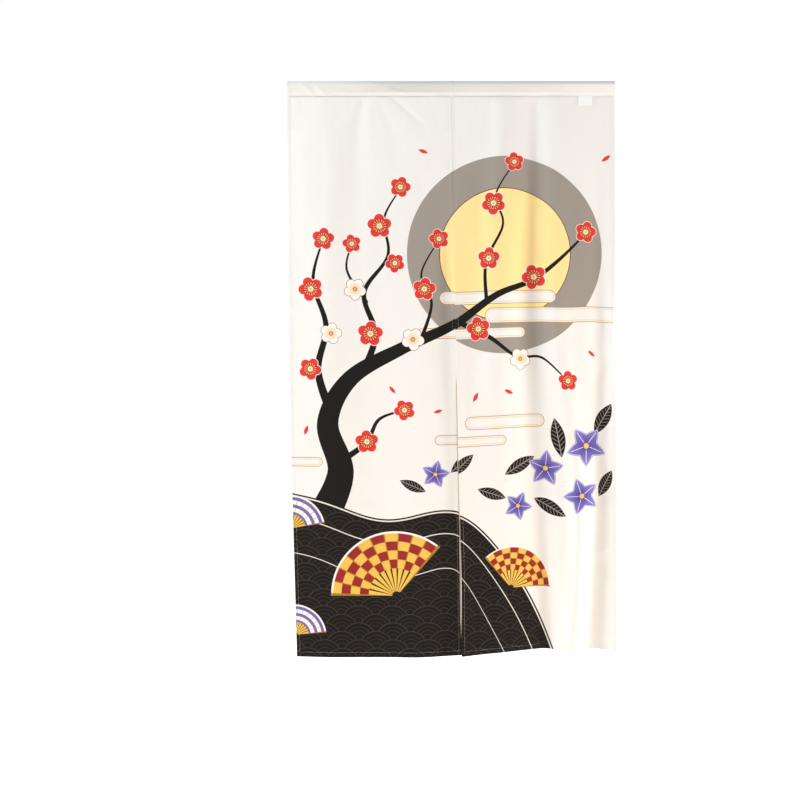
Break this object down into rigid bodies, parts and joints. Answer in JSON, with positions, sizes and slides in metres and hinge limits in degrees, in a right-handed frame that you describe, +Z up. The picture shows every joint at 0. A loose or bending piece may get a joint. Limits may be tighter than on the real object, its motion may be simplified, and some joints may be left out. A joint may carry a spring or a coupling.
{
  "type": "noren curtain",
  "caption": "Noren, a split doorway curtain: printed cloth panels sewn together at the top, hung from a rod pocket and open along a centre slit.",
  "frame": {"origin": "on the rod's axis, halfway along the rod pocket", "axes": "+X to the right along the rod, -Y towards the viewer, +Z up"},
  "size_m": [0.8552, 0.03, 1.4958],
  "materials": {
    "printed_cloth": "matte woven polyester with a printed design",
    "label_tape": "blank white satin tape"
  },
  "bodies": {
    "root": {"left_panel": "printed_cloth", "right_panel": "printed_cloth", "left_pocket": "printed_cloth", "right_pocket": "printed_cloth", "care_label": "label_tape"}
  },
  "joints": []
}
